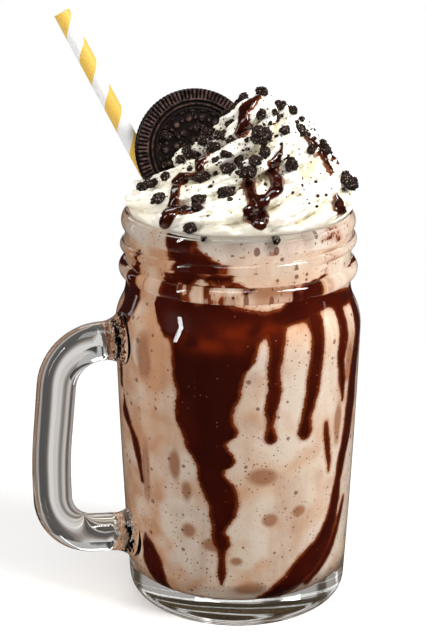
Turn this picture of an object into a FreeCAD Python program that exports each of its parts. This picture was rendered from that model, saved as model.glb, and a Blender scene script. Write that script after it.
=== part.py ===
"""A milkshake in a handled drinking jar, topped with piped cream, a sandwich cookie and a paper straw.

Millimetres, +Z up. The origin is the centre of the jar's foot and the handle points along -X.
The jar is one piece of pressed glass. Drink and cream fill it, and the straw and the cookie stand in them.
"""
import FreeCAD
import Part
import math
import os

V = FreeCAD.Vector
UP = V(0, 0, 1)
ORIGIN = V(0, 0, 0)

# --- the jar ---
jar_height = 152.0
foot_radius = 35.5          # the flat that the jar stands on
heel_round = 6.5
body_low_radius = 42.2      # just above the heel
body_mid_radius = 44.7
body_radius = 46.2          # widest, under the shoulder
neck_radius = 42.0
neck_length = 26.5          # from the shoulder's end to the top of the lip
shoulder_height = 16.5
shoulder_share = 0.57       # how much of the shoulder is the convex arc
wall = 4.0                  # body wall
neck_wall = 3.5
floor_thickness = 10.0
floor_corner = 9.0          # inside round between floor and wall
bead_drop = 21.0            # middle of the ring under the thread, below the jar's top
bead_half = 3.1
bead_stand = 2.5            # how far the ring stands out of the neck
lip_stand = 1.3
lip_height = 6.6            # from the groove under the lip to the top
lip_bulge = 0.45            # how far up the lip it is widest, and how wide its brow is
brow_drop = 0.8             # the lip's outer edge, below the top
mouth_drop = 0.9            # its inner edge
mouth_flare = 0.75          # the inner edge, out from the neck's inside
throat_drop = 2.6           # where the soft inner edge ends
throat_bulge = 0.2
thread_pitch = 5.0
thread_turns = 1.1
thread_drop = 13.1          # where the thread starts, below the jar's top
thread_start_angle = 115.0
thread_half = 1.7
thread_stand = 1.9
thread_root = 0.4           # how deep it is rooted in the neck
thread_end_root = 0.1       # and its ball ends

# --- the handle ---
rod_radius = 7.2
arm_top_drop = 2.3          # the top arm's middle, below the shoulder
arm_low_height = 28.2       # where the low arm meets the wall
arm_low_rise = 3.8          # the low arm climbs this much to its bend
grip_top_out = 23.1         # from the widest wall out to the rod's middle
grip_mid_out = 27.7
grip_low_out = 27.2
grip_mid_height = 62.0      # the grip is bowed outwards here
bend_top = 17.0
bend_mid = 160.0
bend_low = 17.0
flare_length = 7.0
flare_growth = 2.6
flare_lap = 0.05            # its narrow end, inside the rod
flare_hollow = 0.3          # share of the growth left at its middle
flare_middle = 0.42         # and how far along that is
root_depth = 2.5            # how far the handle is rooted in the wall

# --- what is in the jar ---
drink_drop = 4.0            # the drink's level, below the jar's top
cream_rise = 42.0           # peak above the rim
cream_over = 0.3            # the mound's widest radius, past the neck's
cream_lean = 8.0            # the peak stands this far off the axis
cream_foot_lean = 1.4       # and the mound's foot this far
cream_lean_angle = -14.0
lean_full = 0.6             # share of the way up where it leans all the way
cream_lobes = 7             # ridges left by the star nozzle
cream_twist = 210.0         # degrees that the ridges turn from rim to peak
cream_coils = 3.0           # turns of the rope
lobe_depth = 2.4
lobe_middle = 0.6           # share of it that lies inside the mound's radius
coil_depth = 1.6
cream_levels = 24           # curves that the mound's side passes through
cream_tip_radius = 2.2
swirl_start = 0.02          # share of the way up where the ridges begin
swirl_full = 0.14           # and where they are full
swirl_fade = 0.85           # and where they die away

# --- the sandwich cookie ---
cookie_radius = 22.5
wafer_thickness = 3.6
filling_thickness = 2.4
filling_radius = 20.6
ridge_count = 84
ridge_band = 4.3            # width of the ridged edge band
ridge_depth = 0.55
ridge_start = 0.8           # from the band's inner edge out to the grooves
groove_share = 0.6          # of the pitch at the rim
wafer_edge = 0.6            # chamfer
ring_width = 0.9
ring_stand = 0.45
ring_inset = 2.2            # from the band in to the ring
stud_count = 12
stud_radius = 1.25
stud_inset = 5.1            # from the ring in to the studs' middles
stud_top = 0.5              # a stud's top, as a share of its foot
relief_root = 0.2           # how deep ring and studs are rooted
cookie_across = -12.4       # middle of the front face, to its left of the axis
cookie_straw_gap = 2.0      # between its back and the straw
cookie_gap = 0.3            # between its lowest edge and the drink
cookie_turn = -97.0         # the way the front face looks
cookie_lean = 10.0          # the front face looks up by this much

# --- the straw ---
straw_radius = 3.1
straw_wall = 0.4
straw_rim_angle = 124.6     # where it leans on the rim
straw_gap = 0.35            # clearance to the lip and the wall
straw_foot_angle = 7.5
straw_foot_height = 34.0
straw_top_height = 221.0

# --- sizes that follow ---
neck_start = jar_height - neck_length
shoulder_start = neck_start - shoulder_height
arm_top_height = shoulder_start - arm_top_drop
bead_height = jar_height - bead_drop
thread_height = jar_height - thread_drop
drink_level = jar_height - drink_drop
lip_foot = jar_height - lip_height
throat_height = jar_height - throat_drop
inner_neck = neck_radius - neck_wall
floor_top = floor_thickness + floor_corner
cookie_depth = 2 * wafer_thickness + filling_thickness
overcut = 0.1               # how far a cutting tool stands out of what it cuts


def line(a, b):
    return Part.LineSegment(a, b).toShape()


def arc(a, b, c):
    return Part.Arc(a, b, c).toShape()


def rz(radius, height):
    """A point of a turned profile."""
    return V(radius, 0, height)


def ogee(r_low, r_high, z_low, z_high):
    """Two tangent arcs that step from a wide wall to a narrow one."""
    step, height = r_low - r_high, z_high - z_low
    total = (step * step + height * height) / (2 * step)
    convex, concave = total * shoulder_share, total * (1 - shoulder_share)
    join = rz(r_low - step * shoulder_share, z_low + height * shoulder_share)
    half_turn = math.asin(height / total) / 2
    low_mid = rz(r_low - convex + convex * math.cos(half_turn), z_low + convex * math.sin(half_turn))
    high_mid = rz(r_high + concave - concave * math.cos(half_turn), z_high - concave * math.sin(half_turn))
    return [arc(rz(r_low, z_low), low_mid, join), arc(join, high_mid, rz(r_high, z_high))]


def heel():
    """The round from the foot up to the body wall."""
    end = rz(body_low_radius, heel_round)
    middle = rz(foot_radius + (body_low_radius - foot_radius) * math.sin(math.pi / 4),
                heel_round * (1 - math.cos(math.pi / 4)))
    return arc(rz(foot_radius, 0), middle, end)


def body_side(inset, low, high):
    """The slightly barrelled wall, taken in by inset."""
    return arc(rz(body_low_radius - inset, low), rz(body_mid_radius - inset, (low + high) / 2),
               rz(body_radius - inset, high))


lip_crest = rz((neck_radius + lip_stand + inner_neck) / 2, jar_height)
lip_mouth = rz(inner_neck + mouth_flare, jar_height - mouth_drop)


def inner_wall():
    """Edges of the inside, from the floor's middle up to the lip."""
    corner_mid = rz(body_low_radius - wall - floor_corner * (1 - math.sin(math.pi / 4)),
                    floor_thickness + floor_corner * (1 - math.cos(math.pi / 4)))
    flat_end = rz(body_low_radius - wall - floor_corner, floor_thickness)
    return [
        line(rz(0, floor_thickness), flat_end),
        arc(flat_end, corner_mid, rz(body_low_radius - wall, floor_top)),
        body_side(wall, floor_top, shoulder_start),
        *ogee(body_radius - wall, inner_neck, shoulder_start, neck_start),
        line(rz(inner_neck, neck_start), rz(inner_neck, throat_height)),
    ]


def outer_wall():
    """Edges of the outside, from the foot's middle up to the lip."""
    bead_low, bead_high = bead_height - bead_half, bead_height + bead_half
    return [
        line(ORIGIN, rz(foot_radius, 0)),
        heel(),
        body_side(0, heel_round, shoulder_start),
        *ogee(body_radius, neck_radius, shoulder_start, neck_start),
        line(rz(neck_radius, neck_start), rz(neck_radius, bead_low)),
        arc(rz(neck_radius, bead_low), rz(neck_radius + bead_stand, bead_height), rz(neck_radius, bead_high)),
        line(rz(neck_radius, bead_high), rz(neck_radius, lip_foot)),
    ]


def crest_arc(end):
    """The arc from the lip's crest down to end, level at the crest."""
    across, down = end.x - lip_crest.x, lip_crest.z - end.z
    radius = (across * across + down * down) / (2 * down)
    half_turn = math.asin(across / radius) / 2
    middle = rz(lip_crest.x + radius * math.sin(half_turn), jar_height - radius * (1 - math.cos(half_turn)))
    return arc(lip_crest, middle, end)


def lip_throat():
    """The soft edge inside the lip."""
    middle = rz(inner_neck + throat_bulge, (lip_mouth.z + throat_height) / 2)
    return arc(lip_mouth, middle, rz(inner_neck, throat_height))


def lip():
    """The rounded lip, from outside to inside."""
    widest = rz(neck_radius + lip_stand, lip_foot + lip_height * lip_bulge)
    brow = rz(neck_radius + lip_stand * lip_bulge, jar_height - brow_drop)
    return [arc(rz(neck_radius, lip_foot), widest, brow), crest_arc(brow), crest_arc(lip_mouth), lip_throat()]


def polar(radius, degrees, height):
    turn = math.radians(degrees)
    return V(radius * math.cos(turn), radius * math.sin(turn), height)


def turned(edges):
    """A solid of revolution from a closed profile."""
    return Part.Face(Part.Wire(edges)).revolve(ORIGIN, UP, 360)


def glass_shell():
    inside = list(reversed(inner_wall()))
    axis = line(rz(0, floor_thickness), ORIGIN)
    return turned(Part.__sortEdges__([*outer_wall(), *lip(), *inside, axis]))


def thread():
    """One turn of rounded thread, rooted in the neck, with ball ends."""
    rooted = neck_radius - thread_root
    length = thread_pitch * thread_turns
    path = Part.Wire(Part.makeHelix(thread_pitch, length, neck_radius))
    low, high = V(rooted, 0, -thread_half), V(rooted, 0, thread_half)
    crest = V(neck_radius + thread_stand, 0, 0)
    section = Part.Wire([arc(low, crest, high), line(high, low)])
    ridge = path.makePipeShell([section], True, True)
    ends = []
    for turns in (0.0, thread_turns):
        ball = Part.makeSphere(thread_half, V(neck_radius - thread_end_root, 0, 0))
        ball.rotate(ORIGIN, UP, 360 * turns)
        ball.translate(V(0, 0, thread_pitch * turns))
        ends.append(ball)
    whole = ridge.multiFuse(ends)
    whole.rotate(ORIGIN, UP, thread_start_angle)
    whole.translate(V(0, 0, thread_height))
    return whole


def rounded_path(points, radii):
    """Straight runs through the points, joined by tangent arcs at the inner points."""
    edges, start = [], points[0]
    for before, corner, after, radius in zip(points, points[1:], points[2:], radii):
        back, ahead = (before - corner).normalize(), (after - corner).normalize()
        half = back.getAngle(ahead) / 2
        reach = radius / math.tan(half)
        leave, enter = corner + back * reach, corner + ahead * reach
        towards = (back + ahead).normalize()
        middle = corner + towards * (radius / math.sin(half) - radius)
        edges += [line(start, leave), arc(leave, middle, enter)]
        start = enter
    return Part.Wire([*edges, line(start, points[-1])])


def body_radius_at(height):
    """Outside radius of the body wall, near enough for rooting the handle."""
    share = (height - heel_round) / (shoulder_start - heel_round)
    bulge = body_mid_radius - (body_low_radius + body_radius) / 2
    return body_low_radius + (body_radius - body_low_radius) * share + 4 * bulge * share * (1 - share)


def flare(root, direction):
    """The trumpet where an arm melts into the wall."""
    wide, narrow = rod_radius + flare_growth, rod_radius - flare_lap
    hollow = V(narrow + flare_growth * flare_hollow, 0, root_depth + flare_length * flare_middle)
    profile = Part.Wire([
        line(V(0, 0, 0), V(wide, 0, 0)),
        line(V(wide, 0, 0), V(wide, 0, root_depth)),
        arc(V(wide, 0, root_depth), hollow, V(narrow, 0, root_depth + flare_length)),
        line(V(narrow, 0, root_depth + flare_length), V(0, 0, root_depth + flare_length)),
        line(V(0, 0, root_depth + flare_length), V(0, 0, 0)),
    ])
    trumpet = Part.Face(profile).revolve(ORIGIN, UP, 360)
    trumpet.Placement = FreeCAD.Placement(root, FreeCAD.Rotation(UP, direction))
    return trumpet


def handle():
    top_root = V(root_depth - body_radius_at(arm_top_height), 0, arm_top_height)
    low_root = V(root_depth - body_radius_at(arm_low_height), 0, arm_low_height)
    corners = [
        top_root,
        V(-body_radius - grip_top_out, 0, arm_top_height),
        V(-body_radius - grip_mid_out, 0, grip_mid_height),
        V(-body_radius - grip_low_out, 0, arm_low_height + arm_low_rise),
        low_root,
    ]
    path = rounded_path(corners, [bend_top, bend_mid, bend_low])
    section = Part.Wire(Part.makeCircle(rod_radius, top_root, V(-1, 0, 0)))
    rod = path.makePipeShell([section], True, False)
    flares = [flare(corners[0], corners[1] - corners[0]), flare(corners[-1], corners[-2] - corners[-1])]
    return rod.multiFuse(flares)


def jar():
    return glass_shell().multiFuse([thread(), handle()]).removeSplitter()


def straw_ends():
    """Foot and top of the straw's axis. It leans on the lip's inside and stands against the wall."""
    half_width = straw_radius
    for _ in range(6):      # the slant widens the straw's section, so its place is found in steps
        taken = half_width + straw_gap
        foot = polar(body_radius_at(straw_foot_height) - wall - taken, straw_foot_angle, straw_foot_height)
        at_rim = polar(inner_neck - taken, straw_rim_angle, throat_height)
        half_width = straw_radius / math.cos((at_rim - foot).getAngle(UP))
    along = (at_rim - foot).normalize()
    return foot, foot + along * ((straw_top_height - straw_foot_height) / along.z)


def straw_core(radius):
    foot, top = straw_ends()
    return Part.makeCylinder(radius, (top - foot).Length, foot, top - foot)


def straw():
    return straw_core(straw_radius).cut(straw_core(straw_radius - straw_wall))


def milkshake():
    """Fills the jar to its level, round the straw and inside it."""
    middle = rz(0, drink_level)
    top = [line(rz(inner_neck, drink_level), middle), line(middle, rz(0, floor_thickness))]
    below = inner_wall()[:-1] + [line(rz(inner_neck, neck_start), rz(inner_neck, drink_level))]
    return turned(Part.__sortEdges__([*below, *top])).cut(straw())


def smooth(share):
    share = max(0.0, min(1.0, share))
    return share * share * (3 - 2 * share)


def cream_profile(share):
    """Radius and height above the rim, share going from the mound's foot (0) to its peak (1)."""
    widest = neck_radius + cream_over
    stations = [
        (0.00, widest - 1.6, 0.0),
        (0.07, widest - 0.2, 1.6),
        (0.14, widest, 4.2),
        (0.26, widest * 0.92, 8.6),
        (0.40, widest * 0.75, 14.4),
        (0.56, widest * 0.57, 21.8),
        (0.72, widest * 0.41, cream_rise * 0.71),
        (0.87, widest * 0.25, cream_rise * 0.89),
        (1.00, cream_tip_radius, cream_rise),
    ]
    for (s0, r0, z0), (s1, r1, z1) in zip(stations, stations[1:]):
        if share <= s1:
            k = (share - s0) / (s1 - s0)
            return r0 + (r1 - r0) * k, z0 + (z1 - z0) * k
    return stations[-1][1:]


def cream_point(share, turn):
    """A point of the swirled surface. The ridges climb as they go round, and so does the coil."""
    radius, height = cream_profile(share)
    free = smooth((share - swirl_start) / (swirl_full - swirl_start))
    lobes = lobe_depth * abs(math.sin(cream_lobes * (turn - math.radians(cream_twist) * share) / 2))
    coil = coil_depth * math.cos(2 * math.pi * cream_coils * share - turn)
    fade = 1 - smooth((share - swirl_fade) / (1 - swirl_fade))
    radius += free * fade * (lobes - lobe_depth * lobe_middle + coil)
    lean = cream_foot_lean + (cream_lean - cream_foot_lean) * smooth(share / lean_full)
    middle = polar(lean, cream_lean_angle, jar_height + height)
    return middle + V(radius * math.cos(turn), radius * math.sin(turn), 0)


def cream_ring(share):
    """The closed curve round the mound at one level."""
    points = 8 * cream_lobes
    ring = Part.BSplineCurve()
    ring.interpolate([cream_point(share, 2 * math.pi * i / points) for i in range(points)], PeriodicFlag=True)
    return Part.Wire([ring.toShape()])


def cream_mound():
    """The swirled mound as a closed solid, with a flat bottom and a small flat peak."""
    return Part.makeLoft([cream_ring(i / cream_levels) for i in range(cream_levels + 1)], True)


def cream_plug():
    """The cream between the drink and the top of the lip, as wide as the mouth."""
    return turned(Part.__sortEdges__([
        line(rz(0, drink_level), rz(inner_neck, drink_level)),
        line(rz(inner_neck, drink_level), rz(inner_neck, throat_height)),
        lip_throat(),
        crest_arc(lip_mouth),
        line(lip_crest, rz(0, jar_height)),
        line(rz(0, jar_height), rz(0, drink_level)),
    ]))


def whipped_cream():
    """The plug and the mound on it, cut round the straw and the cookie."""
    whole = cream_plug().fuse(cream_mound())
    cut = whole.cut(straw_core(straw_radius)).cut(cookie_envelope())
    return max(cut.Solids, key=lambda s: s.Volume)


def cookie_place():
    """The way the front face looks and its middle. It stands on the drink, just in front of the straw."""
    lean = math.radians(cookie_lean)
    looks = polar(math.cos(lean), cookie_turn, math.sin(lean))
    ahead, side = polar(1, cookie_turn, 0), polar(1, cookie_turn + 90, 0)
    lift = cookie_gap + cookie_radius * math.cos(lean) + cookie_depth * math.sin(lean)
    foot, top = straw_ends()
    reach, steps = cookie_radius + straw_radius, 200
    axis = [foot + (top - foot) * (i / steps) for i in range(steps + 1)]
    centre = side * cookie_across + V(0, 0, drink_level + lift)
    # what the disc hides of the straw changes as it moves, so its place is found in steps
    for _ in range(6):
        near = [p - centre for p in axis if (p - centre - looks * (p - centre).dot(looks)).Length < reach]
        room = cookie_depth + straw_radius + cookie_straw_gap
        centre += ahead * ((max(p.dot(looks) for p in near) + room) / math.cos(lean))
    return looks, centre


def seat_cookie(shape):
    """Moves a cookie piece from its own frame, front face up at the origin, to its place on the drink."""
    looks, centre = cookie_place()
    placed = shape.copy()
    placed.Placement = FreeCAD.Placement(centre, FreeCAD.Rotation(UP, looks)).multiply(placed.Placement)
    return placed


def cookie_envelope():
    return seat_cookie(Part.makeCylinder(cookie_radius, cookie_depth, V(0, 0, -cookie_depth)))


def wafer():
    """A pressed wafer, face up at z 0: ridged edge band, raised ring and studs."""
    band_inner = cookie_radius - ridge_band
    disc = Part.makeCylinder(cookie_radius, wafer_thickness, V(0, 0, -wafer_thickness))
    disc = disc.makeChamfer(wafer_edge, [e for e in disc.Edges if e.isClosed() and e.CenterOfMass.z > -1e-6])
    well = Part.makeCylinder(band_inner, ring_stand, V(0, 0, -ring_stand))
    disc = disc.cut(well)
    pitch = 2 * math.pi * cookie_radius / ridge_count
    start, half = band_inner + ridge_start, pitch * groove_share / 2
    left, right, bottom = V(start, -half, overcut), V(start, half, overcut), V(start, 0, -ridge_depth)
    notch = Part.makePolygon([left, right, bottom, left])
    groove = Part.Face(notch).extrude(V(ridge_band, 0, 0))
    grooves = []
    for i in range(ridge_count):
        cutter = groove.copy()
        cutter.rotate(ORIGIN, UP, 360.0 * i / ridge_count)
        grooves.append(cutter)
    disc = disc.cut(Part.makeCompound(grooves))
    ring_radius, base = band_inner - ring_inset, -ring_stand - relief_root
    ring = Part.makeCylinder(ring_radius, -base, V(0, 0, base))
    studs = [ring.cut(Part.makeCylinder(ring_radius - ring_width, -base, V(0, 0, base)))]
    for i in range(stud_count):
        place = polar(ring_radius - stud_inset, 360 * i / stud_count, base)
        studs.append(Part.makeCone(stud_radius, stud_radius * stud_top, -base, place))
    return disc.multiFuse(studs).removeSplitter()


def cookie_front():
    return seat_cookie(wafer())


def cookie_back():
    """The second wafer, face outwards on the far side."""
    back = wafer()
    back.rotate(ORIGIN, V(1, 0, 0), 180)
    back.translate(V(0, 0, -cookie_depth))
    return seat_cookie(back)


def cookie_filling():
    return seat_cookie(Part.makeCylinder(filling_radius, filling_thickness,
                                         V(0, 0, -wafer_thickness - filling_thickness)))


def main():
    os.makedirs("parts", exist_ok=True)
    nodes = {
        "jar": jar,
        "milkshake": milkshake,
        "whipped_cream": whipped_cream,
        "straw": straw,
        "cookie_front": cookie_front,
        "cookie_filling": cookie_filling,
        "cookie_back": cookie_back,
    }
    for name, make in nodes.items():
        shape = make()
        print(name, "valid", shape.isValid(), "solids", len(shape.Solids),
              "volume_cm3", round(shape.Volume / 1000, 2), "faces", len(shape.Faces))
        shape.exportStep(os.path.join("parts", name + ".step"))


main()
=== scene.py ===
import bpy
import math
import random
import numpy as np
from mathutils import Matrix, Vector, noise
from mathutils.bvhtree import BVHTree


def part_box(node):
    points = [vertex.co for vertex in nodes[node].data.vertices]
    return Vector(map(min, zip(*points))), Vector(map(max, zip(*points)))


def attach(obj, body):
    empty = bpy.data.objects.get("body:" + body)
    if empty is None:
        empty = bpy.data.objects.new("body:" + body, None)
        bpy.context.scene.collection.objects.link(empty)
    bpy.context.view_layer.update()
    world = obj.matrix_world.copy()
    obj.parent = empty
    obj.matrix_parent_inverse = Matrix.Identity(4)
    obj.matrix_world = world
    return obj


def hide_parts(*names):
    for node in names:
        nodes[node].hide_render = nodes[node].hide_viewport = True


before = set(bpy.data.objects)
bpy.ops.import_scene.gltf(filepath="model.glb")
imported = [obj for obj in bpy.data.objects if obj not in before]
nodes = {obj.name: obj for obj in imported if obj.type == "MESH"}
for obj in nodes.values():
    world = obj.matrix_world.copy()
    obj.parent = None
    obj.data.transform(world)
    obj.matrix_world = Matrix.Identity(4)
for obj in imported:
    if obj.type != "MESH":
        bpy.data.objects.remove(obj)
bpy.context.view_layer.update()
mm = 0.001
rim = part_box("jar")[1].z            # top of the lip
dice = random.Random(7)
print("frame loaded, rim at", round(rim, 4))


# camera

cameraSet = {
    "azimuth": -20.5,       # degrees round the jar; the handle points along -X
    "away": 563.9 * mm,     # level distance from the jar's axis
    "height": 293.2 * mm,
    "pitch": -18.1,
    "pan": 0.95,
    "lens": 88.4,
}


def rightOf(azimuth):
    turn = math.radians(azimuth)
    return Vector((math.cos(turn), math.sin(turn), 0))


def towardOf(azimuth):
    turn = math.radians(azimuth)
    return Vector((math.sin(turn), -math.cos(turn), 0))


def eyeAt(azimuth):
    return towardOf(azimuth) * cameraSet["away"] + Vector((0, 0, cameraSet["height"]))


def makeCamera(s):
    bpy.ops.object.camera_add(location=eyeAt(s["azimuth"]))
    camera = bpy.context.object
    yaw = math.radians(s["azimuth"] + s["pan"])
    camera.rotation_euler = (math.radians(90 + s["pitch"]), 0, yaw)
    camera.data.lens = s["lens"]
    bpy.context.scene.camera = camera


makeCamera(cameraSet)


# shader helpers

def setInputs(node, numbers):
    for name, value in numbers.items():
        node.inputs[name].default_value = value


def newMaterial(name, numbers):
    material = bpy.data.materials.new(name)
    material.use_nodes = True
    tree = material.node_tree
    shader = tree.nodes["Principled BSDF"]
    setInputs(shader, numbers)
    return material, tree, shader


def addNode(tree, kind, **settings):
    node = tree.nodes.new(kind)
    for key, value in settings.items():
        if key in node.inputs:
            node.inputs[key].default_value = value
        else:
            setattr(node, key, value)
    return node


def joinUp(tree, source, target):
    tree.links.new(source, target)


def noiseOn(tree, coords, scale, detail=2.0, distortion=0.0):
    node = addNode(tree, "ShaderNodeTexNoise", Scale=scale, Detail=detail, Distortion=distortion)
    joinUp(tree, coords, node.inputs["Vector"])
    return node.outputs["Fac"]


def spread(tree, value, low, high, newLow=0.0, newHigh=1.0, smooth=True):
    node = addNode(tree, "ShaderNodeMapRange")
    node.interpolation_type = "SMOOTHSTEP" if smooth else "LINEAR"
    for slot, number in ((1, low), (2, high), (3, newLow), (4, newHigh)):
        node.inputs[slot].default_value = number
    joinUp(tree, value, node.inputs[0])
    return node.outputs[0]


def calc(tree, operation, a, b=0):
    node = addNode(tree, "ShaderNodeMath", operation=operation)
    for slot, value in ((0, a), (1, b)):
        if isinstance(value, (int, float)):
            node.inputs[slot].default_value = value
        else:
            joinUp(tree, value, node.inputs[slot])
    return node.outputs[0]


def blendColours(tree, share, a, b):
    node = addNode(tree, "ShaderNodeMix", data_type="RGBA")
    if isinstance(share, (int, float)):
        node.inputs[0].default_value = share
    else:
        joinUp(tree, share, node.inputs[0])
    for slot, value in ((6, a), (7, b)):
        if isinstance(value, tuple):
            node.inputs[slot].default_value = (*value, 1)
        else:
            joinUp(tree, value, node.inputs[slot])
    return node.outputs[2]


def objectCoords(tree):
    return addNode(tree, "ShaderNodeTexCoord").outputs["Object"]


def attribute(tree, name):
    return addNode(tree, "ShaderNodeAttribute", attribute_name=name).outputs["Fac"]


def addBump(tree, shader, height, strength, distance):
    node = addNode(tree, "ShaderNodeBump", Strength=strength, Distance=distance)
    joinUp(tree, height, node.inputs["Height"])
    joinUp(tree, node.outputs["Normal"], shader.inputs["Normal"])


def distanceTo(tree, coords, place):
    node = addNode(tree, "ShaderNodeVectorMath", operation="DISTANCE")
    joinUp(tree, coords, node.inputs[0])
    node.inputs[1].default_value = place
    return node.outputs["Value"]


def mixShaders(tree, share, a, b):
    node = addNode(tree, "ShaderNodeMixShader")
    joinUp(tree, share, node.inputs[0])
    joinUp(tree, a.outputs[0], node.inputs[1])
    joinUp(tree, b.outputs[0], node.inputs[2])
    joinUp(tree, node.outputs[0], tree.nodes["Material Output"].inputs["Surface"])


# mesh helpers

def meshPiece(name, vertices, faces, smooth=True):
    mesh = bpy.data.meshes.new(name)
    mesh.from_pydata(vertices, [], faces)
    mesh.polygons.foreach_set("use_smooth", [smooth] * len(mesh.polygons))
    mesh.update()
    piece = bpy.data.objects.new(name, mesh)
    bpy.context.collection.objects.link(piece)
    return piece


def gridPiece(name, points):            # closed all round, with a fan over each end
    rows, columns = points.shape[:2]
    vertices = [tuple(p) for p in points.reshape(-1, 3)]
    faces = []
    for j in range(rows - 1):
        low, high = j * columns, (j + 1) * columns
        for i in range(columns):
            k = (i + 1) % columns
            faces.append((low + i, low + k, high + k, high + i))
    for row in (0, rows - 1):
        vertices.append(tuple(points[row].mean(axis=0)))
        tip, start = len(vertices) - 1, row * columns
        for i in range(columns):
            a, b = start + i, start + (i + 1) % columns
            faces.append((tip, b, a) if row == 0 else (tip, a, b))
    return meshPiece(name, vertices, faces)


def finishPiece(piece, material, slot, *replaced):
    piece.data.materials.clear()
    piece.data.materials.append(material)
    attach(piece, "root")
    if replaced:
        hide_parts(*replaced)
    print("made", piece.name, len(piece.data.polygons), "faces")


def setFloat(piece, name, values):
    layer = piece.data.attributes.new(name, "FLOAT", "POINT")
    full = np.zeros(len(piece.data.vertices), dtype=np.float32)
    full[:len(values)] = values
    layer.data.foreach_set("value", full)


def standOn(piece, middle, axis):       # a piece made upright at the origin, put in its place
    turned = Vector((0, 0, 1)).rotation_difference(axis).to_matrix().to_4x4()
    piece.data.transform(Matrix.Translation(middle) @ turned)
    bpy.ops.object.shade_smooth_by_angle(angle=math.radians(40))
    piece.select_set(False)


def surfaceTree(*pieces):
    vertices, faces = [], []
    for piece in pieces:
        start = len(vertices)
        vertices += [v.co.copy() for v in piece.data.vertices]
        faces += [[start + i for i in p.vertices] for p in piece.data.polygons]
    return BVHTree.FromPolygons(vertices, faces)


def smoothStep(x):
    x = np.clip(x, 0, 1)
    return x * x * (3 - 2 * x)


def smoothMax(a, b, soft):
    h = np.clip(0.5 + 0.5 * (a - b) / soft, 0, 1)
    return b + (a - b) * h + soft * h * (1 - h)


def wave(points, size, seed):
    scaled = points / size + seed
    values = [noise.noise(Vector(p)) for p in scaled.reshape(-1, 3)]
    return np.array(values).reshape(points.shape[:-1])


# the glass jar

glassSet = {
    "colour": (0.985, 0.980, 0.962),
    "shadow": (0.99, 0.965, 0.94),      # tint of the light it lets through
    "waviness": 0.10,
    "lumpiness": 0.55,      # where the handle melts into the wall
    "joints": [(-46 * mm, 0, 107 * mm), (-43 * mm, 0, 28 * mm)],
}


def glassMaterial(s):
    material, tree, shader = newMaterial("pressedGlass", {
        "Base Color": (*s["colour"], 1), "Roughness": 0.015, "IOR": 1.5,
        "Transmission Weight": 1.0})
    coords = objectCoords(tree)
    ripples = calc(tree, "MULTIPLY", noiseOn(tree, coords, 55, 1.5), s["waviness"])
    for place in s["joints"]:
        near = spread(tree, distanceTo(tree, coords, place), 8 * mm, 12 * mm, s["lumpiness"], 0)
        lumps = calc(tree, "MULTIPLY", noiseOn(tree, coords, 330, 2.5), near)
        ripples = calc(tree, "ADD", ripples, lumps)
    addBump(tree, shader, ripples, 1.0, 0.002)
    clear = addNode(tree, "ShaderNodeBsdfTransparent", Color=(*s["shadow"], 1))
    rays = addNode(tree, "ShaderNodeLightPath")
    mixShaders(tree, rays.outputs["Is Shadow Ray"], shader, clear)
    return material


jar = nodes["jar"]
jar.data.materials.clear()
jar.data.materials.append(glassMaterial(glassSet))


# the drink, with sauce run down inside the glass

drinkSet = {
    "intoWall": 0.12 * mm,
    "rows": 205,
    "around": 448,
    "soft": 1.6,            # fillet between runs of sauce, mm
    "wallRadius": 41,       # where the runs' half widths are measured, mm
    "pool": 11.3,           # height of the sauce that lies round the floor, mm
    "neckFrom": 127.5,      # height where the pattern is drawn out by the thread, mm
    "neckTo": 138,
    "foamFrom": 143.0,
    "dropsOut": 38.6,       # how far from the axis the single drops lie, mm
}

# height, left and right edge in degrees from the viewer's side, for the broad run of sauce
broadRun = [
    (123.8, -36, 8), (117.5, -35.5, 10), (113.4, -34.2, 10), (108.2, -33, 8.5), (102.1, -32, 3.5),
    (95, -30.4, 2.0), (90, -30.6, -0.5), (86.9, -31, -1), (83.9, -31, -0.6), (81, -29, 0.6),
    (79, -27.4, -0.8), (77.4, -26.8, -3.8), (75.6, -26, -5.2), (73.6, -25.4, -4.2),
    (71.6, -24, -1.4), (69.2, -22.7, -0.4), (67.4, -21.4, -2.2), (65.6, -20.6, -5.4),
    (63.6, -20.2, -5.8), (61.6, -19.6, -3.4), (59.4, -18.8, -0.8), (54.7, -16.5, 0.4),
    (50.7, -13.8, 1.4), (47.6, -13.6, 0.4), (45, -13.2, -2), (42.4, -13, -4.8), (40.4, -13, -5.4),
    (38.2, -12.8, -3.6), (35.4, -12, -3.2), (32.7, -10.4, -5.2), (28.7, -9.4, -6.4),
    (23.7, -9.8, -6.2), (20.7, -9.4, -6.6), (18.4, -8.4, -7.6),
]
# angle, low and high edge, for the sauce that lies round the shoulder
shoulderRun = [
    (-50, 126, 122), (-43, 117, 130), (-36, 113, 134), (-28, 112, 131), (-22, 111.4, 127.6),
    (-16, 111.4, 129.6), (-10, 111.4, 129), (0, 111.4, 126.8), (8, 113.2, 125.4),
    (15, 115.6, 124.8), (22, 117.2, 125.8), (27, 118.2, 128.6), (30, 118.8, 133.4),
    (33, 119, 131.6), (40, 119.4, 130.4), (52, 121.8, 129.4), (60, 119.8, 127.4),
    (72, 118.4, 125.6), (84, 118, 123.4), (96, 120.4, 123),
]
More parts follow.
